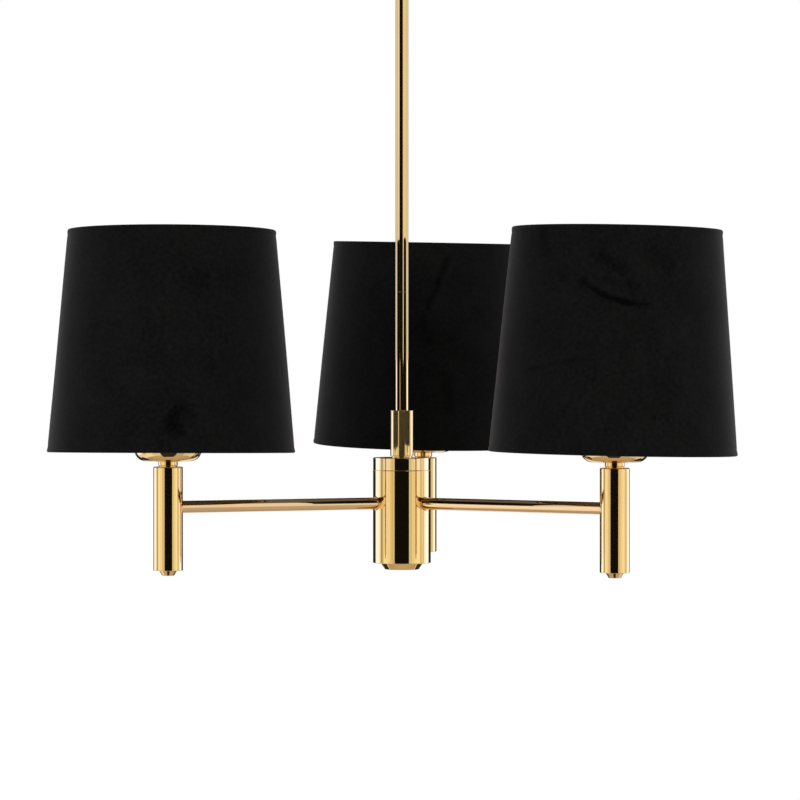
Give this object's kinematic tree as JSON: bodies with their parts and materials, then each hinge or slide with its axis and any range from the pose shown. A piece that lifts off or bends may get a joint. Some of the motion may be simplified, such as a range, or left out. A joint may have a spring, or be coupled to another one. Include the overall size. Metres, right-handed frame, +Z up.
{
  "type": "chandelier",
  "caption": "Ceiling-hung lamp: a straight rod and a cylindrical hub carry horizontal arms, each with an upright tube and a conical drum shade.",
  "frame": {"origin": "on the ceiling, at the middle of the mounting bracket between its two slots", "axes": "+Z up, through the ceiling; the rod hangs along -Z; one arm runs along +Y and the mounting bracket lies along X"},
  "size_m": [0.5628, 0.5141, 0.5769],
  "materials": {
    "polished_brass": "polished, mirror-like, warm gold",
    "plated_steel": "zinc plated, satin",
    "velvet": "short-pile black velvet on a stiff shade liner",
    "frame_wire": "white epoxy coat, satin",
    "black_plastic": "moulded, fine matt grain",
    "opal_glass": "opal, satin inside",
    "insulation": "natural nylon, satin",
    "lead_sheath": "smooth flexible sheath, off-white"
  },
  "bodies": {
    "root": {"mounting_bracket": "plated_steel", "earth_screw": "plated_steel"},
    "hook": {"ceiling_hook": "plated_steel", "hook_nuts": "plated_steel"},
    "link": {"hang_link": "plated_steel"},
    "lamp": {"rod_loop": "plated_steel", "rod_joiner": "plated_steel", "hub_tie_rod": "plated_steel", "hub_nuts": "plated_steel", "arm_nuts": "plated_steel", "tube_nipples": "plated_steel", "terminal_screws": "plated_steel", "upper_rod": "polished_brass", "lower_rod": "polished_brass", "rod_collar": "polished_brass", "hub_lid": "polished_brass", "hub_shell": "polished_brass", "hub_finial": "polished_brass", "arm_couplings": "polished_brass", "arm_back": "polished_brass", "arm_left": "polished_brass", "arm_right": "polished_brass", "tube_back": "polished_brass", "tube_left": "polished_brass", "tube_right": "polished_brass", "tube_finial_back": "polished_brass", "tube_finial_left": "polished_brass", "tube_finial_right": "polished_brass", "bead_back": "polished_brass", "bead_left": "polished_brass", "bead_right": "polished_brass", "dish_back": "polished_brass", "dish_left": "polished_brass", "dish_right": "polished_brass", "lampholder_back": "black_plastic", "shade_ring_back": "black_plastic", "bulb_back": "opal_glass", "lampholder_left": "black_plastic", "shade_ring_left": "black_plastic", "bulb_left": "opal_glass", "lampholder_right": "black_plastic", "shade_ring_right": "black_plastic", "bulb_right": "opal_glass", "terminal_block": "insulation", "hub_terminal": "insulation", "mains_lead": "lead_sheath", "arm_leads": "lead_sheath"},
    "canopy": {"canopy": "polished_brass", "canopy_collar": "polished_brass", "canopy_grub_screw": "plated_steel"},
    "back_shade": {"shade_back": "velvet", "shade_frame_back": "frame_wire", "shade_top_ring_back": "frame_wire"},
    "left_shade": {"shade_left": "velvet", "shade_frame_left": "frame_wire", "shade_top_ring_left": "frame_wire"},
    "right_shade": {"shade_right": "velvet", "shade_frame_right": "frame_wire", "shade_top_ring_right": "frame_wire"}
  },
  "joints": [
    {"name": "hook_turn", "type": "hinge", "parent": "root", "child": "hook", "pos_m": [0, 0, -0.01], "axis": [0, 0, 1], "range_deg": [-170, 170]},
    {"name": "link_swing", "type": "hinge", "parent": "hook", "child": "link", "pos_m": [0, 0, -0.03525], "axis": [0, 1, 0], "range_deg": [-3, 3]},
    {"name": "lamp_swing", "type": "hinge", "parent": "link", "child": "lamp", "pos_m": [0, 0, -0.04895], "axis": [1, 0, 0], "range_deg": [-3, 3]},
    {"name": "canopy_slide", "type": "slide", "parent": "lamp", "child": "canopy", "axis": [0, 0, -1], "range_m": [0, 0.08]},
    {"name": "back_shade_turn", "type": "hinge", "parent": "lamp", "child": "back_shade", "pos_m": [0, 0.2095, -0.45745], "axis": [0, 0, 1], "continuous": true},
    {"name": "left_shade_turn", "type": "hinge", "parent": "lamp", "child": "left_shade", "pos_m": [-0.18143, -0.10475, -0.45745], "axis": [0, 0, 1], "continuous": true},
    {"name": "right_shade_turn", "type": "hinge", "parent": "lamp", "child": "right_shade", "pos_m": [0.18143, -0.10475, -0.45745], "axis": [0, 0, 1], "continuous": true}
  ]
}
